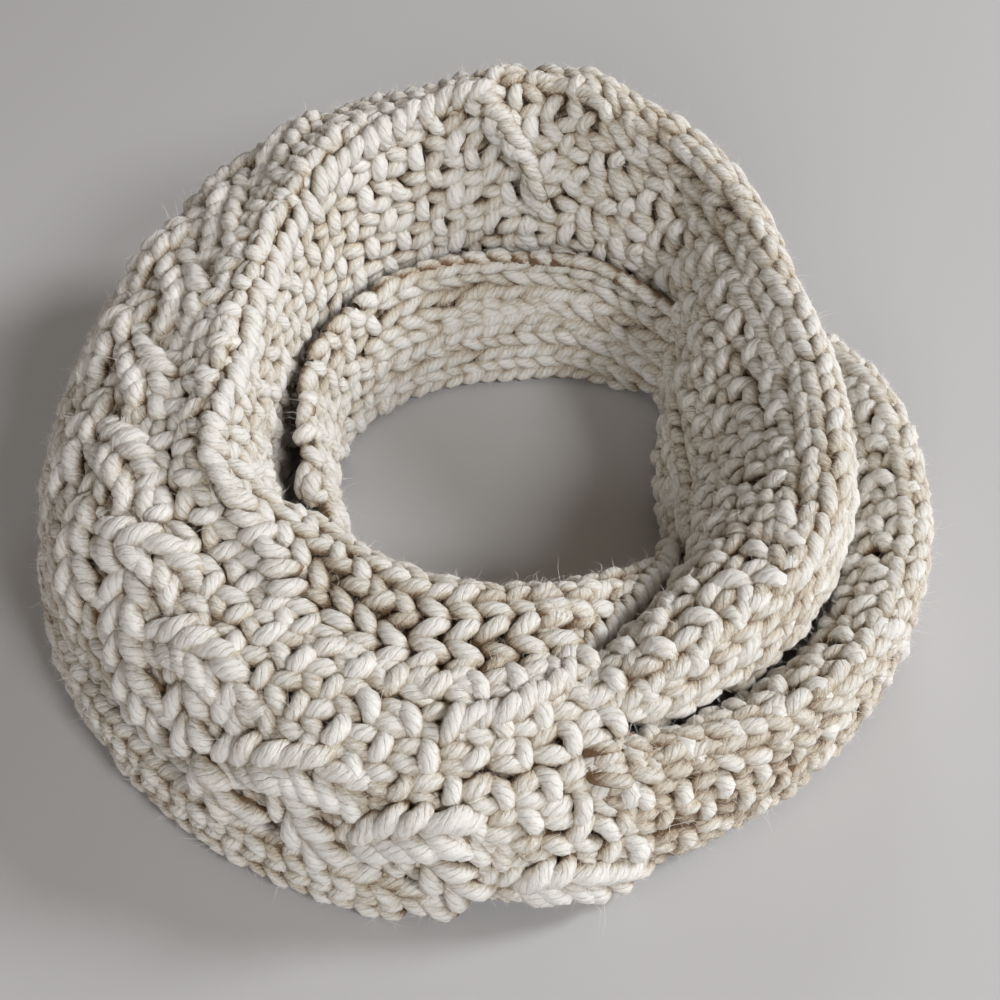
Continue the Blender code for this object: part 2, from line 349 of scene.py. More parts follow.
# %% Panels
Panel = namedtuple("Panel", "surface kind lift edges")
PANELS = [Panel(*row) for row in [
    # right: long columns over the crest, moss inside, plain columns by the opening
    ("upper", "long", 0.9, [
        (-74, 8, 20), (-56, 10, 34), (-43, 4, 32), (-31, -9, 30), (-13, -19, 26), (5, -18, 26),
        (26, -18, 26), (43, -25, 22), (57, -28, 18), (68, -14, 26), (78, -8, 30)]),
    ("upper", "moss", 0.0, [
        (-74, -34, 8), (-56, -38, 10), (-43, -44, 4), (-31, -50, -9), (-13, -56, -19), (5, -58, -18),
        (26, -60, -18), (43, -62, -25), (57, -62, -28), (68, -50, -14), (78, -44, -8)]),
    ("upper", "plain", 0.0, [
        (-26, -72, -50), (-13, -80, -56), (5, -82, -58), (26, -84, -60), (43, -86, -62),
        (57, -86, -62)]),
    ("upper", "moss", 0.0, [(57, -120, -62), (68, -118, -50), (80, -118, -44)]),
    ("upper", "moss", 0.0, [
        (-14, -114, -82), (5, -116, -82), (26, -118, -84), (43, -120, -86), (57, -120, -98)]),
    # back and left: moss inside the collar, its raised edge, moss outside
    ("upper", "moss", 0.0, [
        (78, -120, -12), (86, -118, -9), (95, -116, -10), (118, -112, -17), (142, -112, -18),
        (169, -112, -17)]),
    ("upper", "moss", 0.0, [(169, -50, -17), (184, -46, -12), (194, -44, -10), (202, -42, -12)]),
    ("upper", "moss", 0.0, [(169, -112, -50), (184, -112, -46), (206, -112, -44)]),
    ("upper", "cord", 3.2, [
        (88, -18, -8), (91, -15, -5), (95, -12, -1), (105, -13, -2), (118, -17, -6), (142, -18, -7),
        (156, -16, -5), (169, -17, -6), (184, -12, -1), (194, -10, 1), (206, -10, 1), (214, -6, 5),
        (222, -2, 9), (230, 8, 19)]),
    ("upper", "moss", 0.0, [(78, 30, 78), (86, 1, 48), (105, -2, 44), (118, -6, 38)]),
    ("upper", "moss", 0.0, [
        (118, -6, 16), (130, -6, 14), (142, -7, 13), (156, -5, 13), (169, -6, 17), (184, -1, 19),
        (198, 1, 19), (212, 4, 22), (223, 9, 30)]),
    # front: columns beside the opening, then moss out to the plait
    ("upper", "plain", 0.0, [
        (206, -84, -10), (214, -80, -6), (227, -74, 2), (241, -66, 14), (256, -60, 20), (269, -60, 20),
        (289, -62, 16)]),
    ("upper", "moss", 0.0, [
        (223, 9, 28), (235, 12, 45), (246, 18, 53), (260, 21, 59), (272, 20, 68), (278, 18, 77),
        (288, 14, 90)]),
    # outside of the right side
    ("upper", "moss", 0.0, [(20, 26, 60), (43, 22, 60), (57, 18, 60), (68, 26, 66), (78, 30, 66)]),
    ("upper", "plain", -0.5, [
        (-77, 20, 110), (-56, 34, 110), (-43, 32, 110), (-13, 26, 110), (20, 26, 120)]),
    # lower turn at the right, the wall inside, the inner edge at the front, and the lip at the left
    ("right", "moss", 0.0, [(285, -34, -4), (382, -34, -4)]),
    ("right", "long", 0.6, [
        (285, -12, 0), (299, -10, 2), (314, 2, 13), (325, 0, 11), (339, -2, 9), (360, -4, 8),
        (382, -4, 8)]),
    ("right", "moss", -3.0, [(285, 0, 42), (314, 13, 42), (339, 9, 40), (384, 8, 40)]),
    ("right", "plain", -3.6, [(284, 40, 90), (314, 42, 90), (339, 40, 90), (384, 40, 90)]),
    ("inside", "long", 0.6, [(40, -39, 3), (54, -37, 3), (76, -34, 3), (118, -34, 3)]),
    ("inside", "plain", 0.4, [
        (40, -64, -39), (54, -62, -37), (70, -62, -34), (98, -66, -34), (118, -66, -34)]),
    ("inside", "moss", 0.0, [
        (118, -66, 4), (150, -66, 5), (170, -60, 6), (190, -46, 8), (208, -30, 8)]),
    ("edge", "plain", 0.0, [
        (283, -62, 16), (300, -50, 14), (315, -44, 12), (330, -34, 12), (342, -20, 10)]),
    ("under", "plain", -0.2, [(170, -26, 26), (264, -26, 26)]),
]]
# the edge of the plait that is nearest the crest
PLAIT_EDGE = [
    (20, 60), (78, 66), (86, 48), (105, 44), (118, 16), (130, 14), (142, 13), (156, 13), (169, 17),
    (184, 19), (198, 17), (212, 20), (223, 28), (235, 45), (246, 53), (260, 59), (272, 68),
    (278, 77), (287, 92),
]
print("panels", len(PANELS), "and a plait from", PLAIT_EDGE[0][0], "to", PLAIT_EDGE[-1][0], "degrees")

# %% [markdown]
# ## One stitch
#
# A plain stitch shows as a V, two legs that lean apart, and a purl as a bump that lies across. Each
# is a short line of yarn whose ends dive under the neighbours. Every copy is a little uneven, as
# hand knitting is.

# %% Yarn of one stitch
# x along the column, y across it, z above the cloth, then how full the yarn is; the first three
# are shares of the stitch's pitch, width and yarn thickness.
def smooth(controls, count):
    """More points on a soft curve through a few."""
    controls = np.array(controls, float)
    slope = np.gradient(controls, axis=0)
    place_on = np.linspace(0, len(controls) - 1, count)
    i = np.minimum(place_on.astype(int), len(controls) - 2)
    f = (place_on - i)[:, None]
    return curve(controls[i], controls[i + 1], (slope[i], slope[i + 1]), f)


PLAIN_LEG = smooth([
    (-0.98, 0.03, -1.55, 0.60), (-0.58, -0.06, -0.35, 0.93), (-0.02, -0.24, 0.50, 1.06),
    (0.50, -0.40, 0.45, 1.02), (0.90, -0.51, -0.95, 0.64)], 8)
LONG_LEG = smooth([
    (-0.94, 0.00, -1.40, 0.60), (-0.56, -0.08, -0.30, 0.93), (0.00, -0.24, 0.42, 1.04),
    (0.50, -0.38, 0.35, 1.00), (0.88, -0.47, -0.90, 0.64)], 8)
PURL_BUMP = smooth([
    (-0.44, -0.58, -1.40, 0.62), (-0.22, -0.40, -0.05, 0.97), (0.06, -0.12, 0.80, 1.10),
    (0.06, 0.18, 0.75, 1.08), (-0.04, 0.42, -0.10, 0.96), (-0.24, 0.58, -1.40, 0.60)], 9)
SMALL_LEG = smooth([
    (-0.84, 0.02, -1.30, 0.60), (-0.44, -0.10, 0.00, 0.96), (0.04, -0.24, 0.50, 1.05),
    (0.52, -0.37, 0.00, 0.96), (0.88, -0.42, -1.30, 0.60)], 8)

# %% Laying stitches
DEEPEST_TUCK = -20.0  # millimetres under the cloth
TUCK_LIMIT = {"inside": -3.2, "under": -5.0}  # yarn must not come out behind a thin wall
UNEVEN = 0.06  # spread of a stitch's size and of its yarn's thickness
WOBBLE = 0.32  # millimetres that each point of its line strays
STRAY = 0.3  # millimetres that the whole stitch strays
BEDDING = 1.0  # millimetres that it is pressed into the cloth
MOST_RAISED = 2.5  # millimetres that the floor may lift it
ROOM_ON_FLOOR = 1.15  # yarn radii between the floor and the middle of the yarn
LIFT_UNSEEN = 0.6  # share of its lift that does not lighten the yarn's painted shade
LEAST_RADIUS = 30  # millimetres
FORM_SEED = 20
rng = np.random.default_rng(FORM_SEED)
Strands = namedtuple("Strands", "points normals thick full height")


def lay(s, azimuth, a, heading, kind, line, side=1.0, lift=0.0, swing=0.10, size=1.0):
    """Yarn of many stitches at once: copies of one line, each with its own small unevenness."""
    count = len(azimuth)
    scale = size * (1 + rng.normal(0, UNEVEN, (count, 3)))
    local = line[None, :, :3] * np.array([kind.pitch, kind.width, kind.thick]) * scale[:, None]
    local[:, :, 1] *= side
    wobble = rng.normal(0, WOBBLE, local.shape)
    wobble[:, 1:-1] = 0.5 * wobble[:, 1:-1] + 0.25 * (wobble[:, :-2] + wobble[:, 2:])
    local += wobble + rng.normal(0, STRAY, (count, 1, 3))
    turn = heading + rng.normal(0, swing, count)
    c = np.cos(turn)[:, None]
    n = np.sin(turn)[:, None]
    x = local[:, :, 0] * c - local[:, :, 1] * n
    y = local[:, :, 0] * n + local[:, :, 1] * c
    lift = np.broadcast_to(lift, count)[:, None]
    height = local[:, :, 2] + lift - kind.thick - BEDDING
    height = np.maximum(height, TUCK_LIMIT.get(s.name, DEEPEST_TUCK))
    radius = np.maximum(read_grid(s.radius, s, azimuth, a), LEAST_RADIUS)
    at = azimuth[:, None] + np.degrees(x / radius[:, None])
    points, normals = place(s, at, a[:, None] + y, height)
    thick = kind.thick * size * (1 + rng.normal(0, UNEVEN, count))
    rest = ROOM_ON_FLOOR * thick[:, None] * line[None, :, 3] * MM
    raised = np.clip((rest - points[..., 2]).max(axis=1), 0, MOST_RAISED * MM)
    points[..., 2] += raised[:, None]
    points[..., 2] = np.maximum(points[..., 2], rest)
    # the last value is the depth that sets the yarn's painted shade
    return Strands(points, normals, thick, line[:, 3], height - LIFT_UNSEEN * lift)


print("a plain stitch has two legs of", len(PLAIN_LEG), "points, a purl bump has", len(PURL_BUMP))

# %% [markdown]
# ## Walking the columns
#
# Each column is walked round the ring in steps of one stitch. A wider radius takes more stitches,
# and a column stops where the arch has no room for it, as the real one runs on into hidden turns.

# %% Stretches, rows and spots
STRETCHES = [
    ("upper_wrap_right", "upper", -74, 40), ("upper_wrap_back", "upper", 40, 130),
    ("upper_wrap_left", "upper", 130, 205), ("front_wrap", "upper", 205, 285),
    ("front_inner_edge", "edge", 285, 342), ("lower_wrap_right", "right", 285, 382),
    ("inner_wrap_back", "inside", 50, 130), ("inner_wrap_left", "inside", 130, 206),
    ("under_wrap_left", "under", 168, 268),
]
batches = {name: [] for name, *_ in STRETCHES}
NO_LIMIT = 1000.0
CREST_LIMIT = {"inside": 1.0}  # none is knitted on this wall's hidden back
ROW_STRAY = 0.12  # degrees that a stitch strays from its row
LEAST_HEIGHT = 2.5  # millimetres above the floor


def limits(s, azimuth):
    """Both ends of the arch, in millimetres from its crest."""
    spots = np.arange(s.first, s.last + 1.0)
    return np.interp(azimuth, spots, s.low), np.interp(azimuth, spots, s.high)


def rows(s, start, end, pitch, line):
    """Azimuths of a panel's rows, stepped along its middle line."""
    azimuth = start + rng.uniform(0.0, 2.0)
    found = []
    while azimuth < end:
        radius = float(read_grid(s.radius, s, np.array([azimuth]), np.array([line(azimuth)]))[0])
        found.append(azimuth)
        azimuth += math.degrees(pitch / max(radius, LEAST_RADIUS)) * rng.uniform(0.95, 1.05)
    return np.array(found)


def column_spots(s, azimuths, line, slack=2.0):
    """Row number, azimuth, place across the arch and heading of a column's stitches."""
    azimuths = azimuths + rng.normal(0, ROW_STRAY, len(azimuths))
    a = np.array([line(azimuth) for azimuth in azimuths])
    radius = read_grid(s.radius, s, azimuths, a)
    heading = np.arctan2(np.gradient(a), np.gradient(np.radians(azimuths)) * radius)
    low, high = limits(s, azimuths)
    high = np.minimum(high + slack, CREST_LIMIT.get(s.name, NO_LIMIT))
    above_floor = read_grid(s.points, s, azimuths, a)[:, 2] > LEAST_HEIGHT * MM
    keep = (a > low - slack) & (a < high) & above_floor
    return np.arange(len(azimuths))[keep], azimuths[keep], a[keep], heading[keep]


def work(s, azimuth, *shape, **settings):
    """Lay a column's strands, and give them to the stretches by azimuth."""
    made = lay(s, azimuth, *shape, **settings)
    for name, surface_name, first, last in STRETCHES:
        held = np.clip(azimuth, s.first, s.last - 0.01)
        mine = (held >= first) & (held < last)
        if surface_name == s.name and mine.any():
            batches[name].append(Strands(made.points[mine], made.normals[mine], made.thick[mine],
                                         made.full, made.height[mine]))


def knit(s, azimuth, a, heading, kind, line, **settings):
    """Both legs of plain stitches."""
    for side in (1, -1):
        work(s, azimuth, a, heading, kind, line, side=side, **settings)


print("stretches to dress", len(STRETCHES))

# %% Walk the columns of every panel
DRIFT = 0.8  # millimetres that a column sways as it runs
DRIFT_SWAY = 9  # degrees of azimuth to one radian of the sway
LEAST_ROOM = -0.3  # widths of a column, under which it stops
TUCKED = 2.0  # millimetres that a last column tucks under its neighbour
PHASES = (0, 6.28)  # once round, in radians
LOOSE = 0.32  # radians of spread in a purl bump's heading
FIRM = 0.2  # the same in a small plain stitch
MOSS_SLANT = 0.2  # radians that bumps lean, left and right in turn
CORD_SLANT = 0.9  # radians that stitches lean across a cord
SMALL_SIZE = 1.08  # so that moss closes up
stitches = 0
for panel in PANELS:
    s = SURFACES[panel.surface]
    kind = KINDS[panel.kind]
    edges = np.array(panel.edges, float)

    def line(azimuth, column, phase=0.0):
        low = float(np.interp(azimuth, edges[:, 0], edges[:, 1]))
        return low + (column + 0.5) * kind.width + DRIFT * math.sin(azimuth / DRIFT_SWAY + phase)

    room = edges[:, 2] - edges[:, 1]
    middle = room.mean() / kind.width / 2
    azimuths = rows(s, edges[0, 0], edges[-1, 0], kind.pitch, lambda v: line(v, middle))
    columns = 1 if panel.kind == "cord" else math.ceil(room.max() / kind.width) + 1
    for column in range(columns):
        phase = rng.uniform(*PHASES)
        spots = column_spots(s, azimuths, lambda v: line(v, column, phase))
        spare = np.interp(spots[1], edges[:, 0], room) / kind.width - column
        fits = spare > LEAST_ROOM
        number, azimuth, a, heading, spare = (v[fits] for v in (*spots, spare))
        if not len(number):
            continue
        lift = panel.lift - TUCKED * np.clip(0.5 - spare, 0, 1)
        stitches += len(number)
        if panel.kind == "moss":
            purl = (number + column) % 2 == 0
            lean = MOSS_SLANT * (-1) ** column
            work(s, azimuth[purl], a[purl], heading[purl] + lean, kind, PURL_BUMP,
                 lift=lift[purl] + 0.3, swing=LOOSE)
            knit(s, azimuth[~purl], a[~purl], heading[~purl], kind, SMALL_LEG,
                 lift=lift[~purl] + 0.1, swing=FIRM, size=SMALL_SIZE)
        elif panel.kind == "cord":
            work(s, azimuth, a, heading + CORD_SLANT, kind, PURL_BUMP, lift=lift, swing=LOOSE)
        else:
            leg = LONG_LEG if panel.kind == "long" else PLAIN_LEG
            knit(s, azimuth, a, heading, kind, leg, lift=lift)
print("stitches in the panels", stitches)

# %% [markdown]
# ## Plait
#
# A knitter crosses the ropes of a plait on a spare needle. Here each of the three is one column of
# large V stitches that swings from side to side, and rises where it passes over its neighbour.

# %% Walk the plait
PLAIT_ROPES = 3
PLAIT_PERIOD = 138.0  # millimetres along the rim in which a rope swings out and back
PLAIT_RADIUS = 150  # millimetres from the ring's centre to the plait
PLAIT_SWING = 17.5  # millimetres that a rope swings to each side
PLAIT_MIDDLE = 25  # millimetres, the line its rows are stepped on
PLAIT_RISE = 3.0  # millimetres over a neighbour, and under it
PLAIT_LIFT = 0.8
PLAIT_SIZE = 1.18  # its stitches are larger than plain ones
GROUND_COLUMNS = 12
GROUND_WIDTH = 12.2
ROPES_COVER = 4  # columns of the ground that lie under the ropes
GROUND_SUNK = -2.2  # millimetres that those lie deeper
s = SURFACES["upper"]
kind = KINDS["plait"]
plait_edge = np.array(PLAIT_EDGE, float)


def inner_line(azimuth):
    return float(np.interp(azimuth, plait_edge[:, 0], plait_edge[:, 1]))


def rope_turn(azimuth, rope):
    turns = rope * 2 * math.pi / PLAIT_ROPES
    return np.radians(azimuth) * PLAIT_RADIUS / PLAIT_PERIOD * 2 * math.pi + turns


def rope_line(azimuth, rope):
    swung = PLAIT_SWING * (1 + math.sin(rope_turn(azimuth, rope)))
    return inner_line(azimuth) + swung + 0.5 * kind.width


azimuths = rows(s, PLAIT_EDGE[0][0], PLAIT_EDGE[-1][0], kind.pitch, lambda v: inner_line(v) + PLAIT_MIDDLE)
for rope in range(PLAIT_ROPES):
    number, azimuth, a, heading = column_spots(s, azimuths, lambda v: rope_line(v, rope), slack=3.0)
    lift = PLAIT_RISE * np.sin(2 * rope_turn(azimuth, rope)) + PLAIT_LIFT
    knit(s, azimuth, a, heading, kind, PLAIN_LEG, lift=lift, swing=0.12, size=PLAIT_SIZE)
    stitches += len(number)

# %% [markdown]
# Plain columns lie under the ropes, and go on beyond them as the outside of the band.

# %% Ground of the plait
for column in range(GROUND_COLUMNS):
    number, azimuth, a, heading = column_spots(
        s, azimuths, lambda v: inner_line(v) + (column + 0.4) * GROUND_WIDTH, slack=3.0)
    if len(number) > 1:
        sunk = GROUND_SUNK if column < ROPES_COVER else 0.0
        knit(s, azimuth, a, heading, KINDS["plain"], PLAIN_LEG, lift=sunk)
        stitches += len(number)
print("stitches with the plait", stitches)

# %% [markdown]
# ## Edge cord
#
# The band's own edge shows as a bright twisted cord, on a slant at the front right and where the
# collar's cord turns down into the opening. It is a chain of long strands, each of which starts
# under the one before.

# %% Edge cord
EDGE_CORD = [
    ("edge", [(284, 23), (293, 16), (307, 9), (319, 4), (330, 1), (340, -3)]),
    ("upper", [(264, 38), (272, 34), (277, 31), (282, 26), (286, 23)]),
    ("upper", [(77.5, -51), (79, -45), (82, -35), (85, -24), (88, -15), (90, -12)]),
]
CORD_KIND = Kind(7.6, 9.0, 2.9)
CORD_STEP = 5.6  # millimetres from one strand to the next
CORD_RADIUS = 110  # millimetres from the ring's centre
CORD_LIFT = 3.6
STRAND_SLANT = -0.55  # radians that each strand crosses the cord
for surface_name, edge in EDGE_CORD:
    s = SURFACES[surface_name]
    edge = np.array(edge, float)

    def cord_line(azimuth):
        return float(np.interp(azimuth, edge[:, 0], edge[:, 1]))

    across = float(np.diff(edge[:, 1]).sum() / (np.radians(np.diff(edge[:, 0])).sum() * CORD_RADIUS))
    step = CORD_STEP / math.hypot(1, across)
    azimuths = rows(s, edge[0, 0], edge[-1, 0], step, cord_line)
    number, azimuth, a, heading = column_spots(s, azimuths, cord_line, slack=6.0)
    work(s, azimuth, a, heading + STRAND_SLANT, CORD_KIND, LONG_LEG, side=0.0, lift=CORD_LIFT,
         swing=0.15)
    print("edge cord on", surface_name, "strands", len(number))

# %% [markdown]
# ## Yarn
#
# A stitch's yarn is a tube along its line, with soft lobes that wind along it, as the plies of a
# spun yarn do. Its ends are drawn in and tucked under the neighbours.

# %% Tubes from lines
YARN_TWIST = 16.0  # millimetres of yarn for one turn of the plies
YARN_LOBES = 0.06  # depth of the plies' lobes, in yarn radii
YARN_ROUGH = 0.018  # spread of the radius from point to point
UV_LENGTH = 10  # millimetres of yarn to one unit of its own coordinates
PAINTED_SHADE_DEEPEST = -3.7  # millimetres from the cloth, where the yarn's painted shade is darkest
PAINTED_SHADE_SPAN = 4.7  # millimetres above that, where the painted shade ends and the yarn is lightest
SIDES = 8
HIDDEN_SIDES = 7  # for the large back


def mesh_piece(name, verts, loops, sizes, layers=()):
    """A piece from arrays: points, the points of each face in turn, the faces' sizes, and UVs."""
    mesh = bpy.data.meshes.new(name)
    mesh.vertices.add(len(verts))
    mesh.vertices.foreach_set("co", verts.astype(np.float32).ravel())
    mesh.loops.add(len(loops))
    mesh.loops.foreach_set("vertex_index", loops.astype(np.int32))
    mesh.polygons.add(len(sizes))
    mesh.polygons.foreach_set("loop_start", (np.cumsum(sizes) - sizes).astype(np.int32))
    for layer, uv in layers:
        mesh.uv_layers.new(name=layer)
        mesh.uv_layers[layer].data.foreach_set("uv", uv.astype(np.float32).ravel())
    mesh.update(calc_edges=True)
    mesh.validate()
    piece = bpy.data.objects.new(name, mesh)
    bpy.context.scene.collection.objects.link(piece)
    return piece


def quad_corners(grid):
    """Four corners of every cell of a grid on a tube, in the order that faces outward."""
    return np.stack([grid[:, :-1, :-1], grid[:, :-1, 1:], grid[:, 1:, 1:], grid[:, 1:, :-1]], axis=3)


def tube_mesh(name, sets, sides):
    """One piece of many yarn tubes, as thick at each point as the set says."""
    verts = []
    loops = []
    sizes = []
    uvs = []
    tone = []
    painted_shade_openness = []
    offset = 0
    strand = 0
    cells = math.ceil(math.sqrt(sum(len(made.points) for made in sets)))
    angle = np.arange(sides) * 2 * math.pi / sides
    for points, normals, thick, full, height in sets:
        count, length, _ = points.shape
        tangent = unit(np.gradient(points, axis=1), 1e-12)
        side = unit(np.cross(tangent, normals), 1e-12)
        up = np.cross(side, tangent)
        steps = np.linalg.norm(np.diff(points, axis=1), axis=2)
        run = np.concatenate([np.zeros((count, 1)), np.cumsum(steps, axis=1)], axis=1) / MM
        spin = rng.uniform(0, 6.28, count)
        turn = angle[None, None] - run[..., None] / YARN_TWIST * 2 * math.pi
        wave = np.cos(2 * turn + spin[:, None, None])
        radius = thick[:, None, None] * MM * full[None, :, None] * (1 + YARN_LOBES * wave)
        radius = radius * (1 + rng.normal(0, YARN_ROUGH, radius.shape))
        outward = (np.sin(angle)[None, None, :, None] * side[:, :, None]
                   + np.cos(angle)[None, None, :, None] * up[:, :, None])
        ring = points[:, :, None] + radius[..., None] * outward
        verts.append(ring.reshape(-1, 3))

        # faces: a skin of quads and a cap at each end
        index = offset + np.arange(count * length * sides).reshape(count, length, sides)
        following = np.roll(index, -1, axis=2)
        quads = np.stack([index[:, :-1], following[:, :-1], following[:, 1:], index[:, 1:]], axis=-1)
        loops += [quads.reshape(-1), index[:, 0].reshape(-1), index[:, -1, ::-1].reshape(-1)]
        sizes += [np.full(quads.size // 4, 4), np.full(2 * count, sides)]

        # coordinates along the yarn, and a cell of its own for each strand
        around = np.arange(sides + 1) / sides
        u = np.broadcast_to(around[None, None], (count, length, sides + 1))
        v = np.broadcast_to(run[..., None] / UV_LENGTH + spin[:, None, None], u.shape)
        yarn_uv = np.stack([u, v], axis=-1)
        number = strand + np.arange(count)
        corner = np.stack([number % cells, number // cells], axis=-1)[:, None, None]
        level = np.broadcast_to(np.linspace(0.04, 0.96, length)[None, :, None], u.shape)
        cell_uv = (corner + np.stack([u * 0.9 + 0.05, level], axis=-1)) / cells
        both = np.stack([quad_corners(yarn_uv), quad_corners(cell_uv)], axis=-2)
        first_cap = np.stack([yarn_uv[:, 0, :sides], cell_uv[:, 0, :sides]], axis=-2)
        last_cap = np.stack([yarn_uv[:, -1, sides - 1::-1], cell_uv[:, -1, sides - 1::-1]], axis=-2)
        uvs += [part.reshape(-1, 2, 2) for part in (both, first_cap, last_cap)]

        # the strand's own tone, and painted shade: the deeper a point lies among the stitches, the darker
        # and browner its colour is painted
        tone.append(np.repeat(rng.uniform(0, 1, count), length * sides))
        above = height[:, :, None] + (thick[:, None] * full[None])[..., None] * np.cos(angle)[None, None]
        painted_shade_openness.append(np.clip((above - PAINTED_SHADE_DEEPEST) / PAINTED_SHADE_SPAN, 0, 1).reshape(-1))
        offset += count * length * sides
        strand += count
    uvs = np.concatenate(uvs)
    piece = mesh_piece(name, np.concatenate(verts), np.concatenate(loops), np.concatenate(sizes),
                       [("yarn", uvs[:, 0]), ("OFBake", uvs[:, 1])])
    for layer, values in (("tone", tone), ("painted_shade_openness", painted_shade_openness)):
        made = piece.data.attributes.new(layer, "FLOAT", "POINT")
        made.data.foreach_set("value", np.concatenate(values).astype(np.float32))
    piece.data.shade_smooth()
    return piece


print("a yarn has", SIDES, "sides")

# %% [markdown]
# ## Wool
#
# The finish is one undyed cream wool. Its fibres run along the twist of the yarn, so the colour and
# the fine relief are streaks on a helix, worked out from how far round the yarn a point is, and how
# far along it.
# Painted shade darkens the yarn where it lies deep among the stitches and in the grooves between its
# plies.

# %% Nodes
def node(tree, kind, values=(), **settings):
    """A node with its settings, and a value or a link for each of its sockets in turn."""
    made = tree.nodes.new(kind)
    for key, value in settings.items():
        setattr(made, key, value)
    for number, value in enumerate(values):
        if isinstance(value, bpy.types.NodeSocket):
            tree.links.new(value, made.inputs[number])
        elif value is not None:
            made.inputs[number].default_value = value
    return made


def math_node(tree, operation, *values):
    return node(tree, "ShaderNodeMath", values, operation=operation).outputs[0]


def noise(tree, where, scale, detail, roughness):
    return node(tree, "ShaderNodeTexNoise", (where, None, scale, detail, roughness)).outputs[0]


def times(tree, first, second):
    return math_node(tree, "MULTIPLY", first, second)


def weighted_sum(tree, parts, start=0.0):
    """A starting value plus each part times its own weight."""
    total = start
    for value, weight in parts:
        total = math_node(tree, "ADD", times(tree, value, weight), total)
    return total


def relief_node(tree, height, distance):
    """Fine relief on the tree's shader, as tall as the distance in metres."""
    bump = node(tree, "ShaderNodeBump")
    bump.inputs["Distance"].default_value = distance
    tree.links.new(height, bump.inputs["Height"])
    tree.links.new(bump.outputs[0], tree.nodes["Principled BSDF"].inputs["Normal"])


def finish(name, colour, roughness=0.95, specular=0.1, sheen=0.3):
    made = bpy.data.materials.new(name)
    made.use_nodes = True
    shader = made.node_tree.nodes["Principled BSDF"]
    shader.inputs["Base Color"].default_value = colour
    shader.inputs["Roughness"].default_value = roughness
    shader.inputs["Specular IOR Level"].default_value = specular
    shader.inputs["Sheen Weight"].default_value = sheen
    return made


# %% Wool of the yarn
# the ramp runs from painted shade, the dark brown of yarn deep among the stitches, through a painted half
# shade to the cream of open yarn; the fibre streaks and each strand's tone move along it too
WOOL_LIGHT = (0.91, 0.895, 0.86, 1)
WOOL_MIDDLE = (0.62, 0.54, 0.43, 1)
WOOL_PAINTED_SHADE = (0.20, 0.115, 0.055, 1)
MIDDLE_AT = 0.42  # shade value at which the wool is WOOL_MIDDLE, a beige painted half shade
LIGHT_AT = 0.92  # shade from which it is WOOL_LIGHT
PLIES = 6  # fine strands that show round the yarn
PLY_WANDER = 4.0  # radians that the grooves between them wander
STREAK_ROUND = 1.8  # how fine the streaks are round the yarn, and along it
STREAK_ALONG = 4.5
FIBRE_RELIEF = 0.0007  # metres


def wool_material(name):
    made = finish(name, (0.8, 0.8, 0.8, 1), roughness=0.9, specular=0.05, sheen=0.25)
    tree = made.node_tree
    shader = tree.nodes["Principled BSDF"]
    shader.inputs["Sheen Roughness"].default_value = 0.5
    shader.inputs["Sheen Tint"].default_value = (1.0, 0.96, 0.9, 1)

    # the yarn's own coordinates, wound on a helix
    uv = node(tree, "ShaderNodeUVMap", uv_map="yarn").outputs[0]
    parts = node(tree, "ShaderNodeSeparateXYZ", (uv,))
    around = parts.outputs[0]
    along = parts.outputs[1]
    helix = math_node(tree, "ADD", around, times(tree, along, UV_LENGTH / YARN_TWIST))
    angle = times(tree, helix, 2 * math.pi)
    across = node(tree, "ShaderNodeCombineXYZ", (
        times(tree, math_node(tree, "COSINE", angle), STREAK_ROUND),
        times(tree, math_node(tree, "SINE", angle), STREAK_ROUND),
        times(tree, along, STREAK_ALONG))).outputs[0]

    fibre = noise(tree, across, 1.5, 3.0, 0.60)
    drift = noise(tree, across, 0.7, 2.0, 0.5)
    fluff = noise(tree, across, 4.5, 3.0, 0.65)
    wander = times(tree, math_node(tree, "SUBTRACT", drift, 0.5), PLY_WANDER)
    ply = math_node(tree, "ADD", times(tree, helix, PLIES * math.pi), wander)
    groove_relief_and_shade = math_node(tree, "ABSOLUTE", math_node(tree, "SINE", ply))
    groove_relief_and_shade = math_node(tree, "POWER", groove_relief_and_shade, 0.5)

    # painted shade: yarn deep among the stitches is painted dark brown and open yarn light, and the
    # fibres' streaks and each strand's own tone vary both
    tone = node(tree, "ShaderNodeAttribute", attribute_name="tone").outputs["Fac"]
    painted_shade_openness = node(tree, "ShaderNodeAttribute", attribute_name="painted_shade_openness").outputs["Fac"]
    shade = weighted_sum(tree, [(painted_shade_openness, 1.45), (fibre, 0.90), (fluff, 1.05), (tone, 0.30)], start=-1.60)
    # painted shade in the grooves between the plies
    shade = times(tree, shade, weighted_sum(tree, [(groove_relief_and_shade, 0.22)], start=0.80))
    shade = node(tree, "ShaderNodeClamp", (shade, 0.0, 1.0)).outputs[0]
    ramp = node(tree, "ShaderNodeValToRGB", (shade,))
    ramp.color_ramp.elements[0].color = WOOL_PAINTED_SHADE
    ramp.color_ramp.elements[1].position = LIGHT_AT
    ramp.color_ramp.elements[1].color = WOOL_LIGHT
    ramp.color_ramp.elements.new(MIDDLE_AT).color = WOOL_MIDDLE
    tree.links.new(ramp.outputs[0], shader.inputs["Base Color"])
    relief_node(tree, weighted_sum(tree, [(groove_relief_and_shade, 0.65), (fibre, 0.8), (fluff, 0.9)]), FIBRE_RELIEF)
    return made


wool = wool_material("wool_yarn")
fuzz_wool = finish("wool_fuzz", (0.90, 0.87, 0.82, 1))
print("wool of the yarn has", len(wool.node_tree.nodes), "nodes")

# %% [markdown]
# The cloth behind is seen only in the gaps between stitches. Its colour is painted shade, the dark brown
# of those deep gaps, and clumped like felt.

# %% Wool of the backing, in painted shade
CLUMPS = 210.0  # noise scale: clumps of about 5 mm
CLUMP_RELIEF = 0.003  # metres
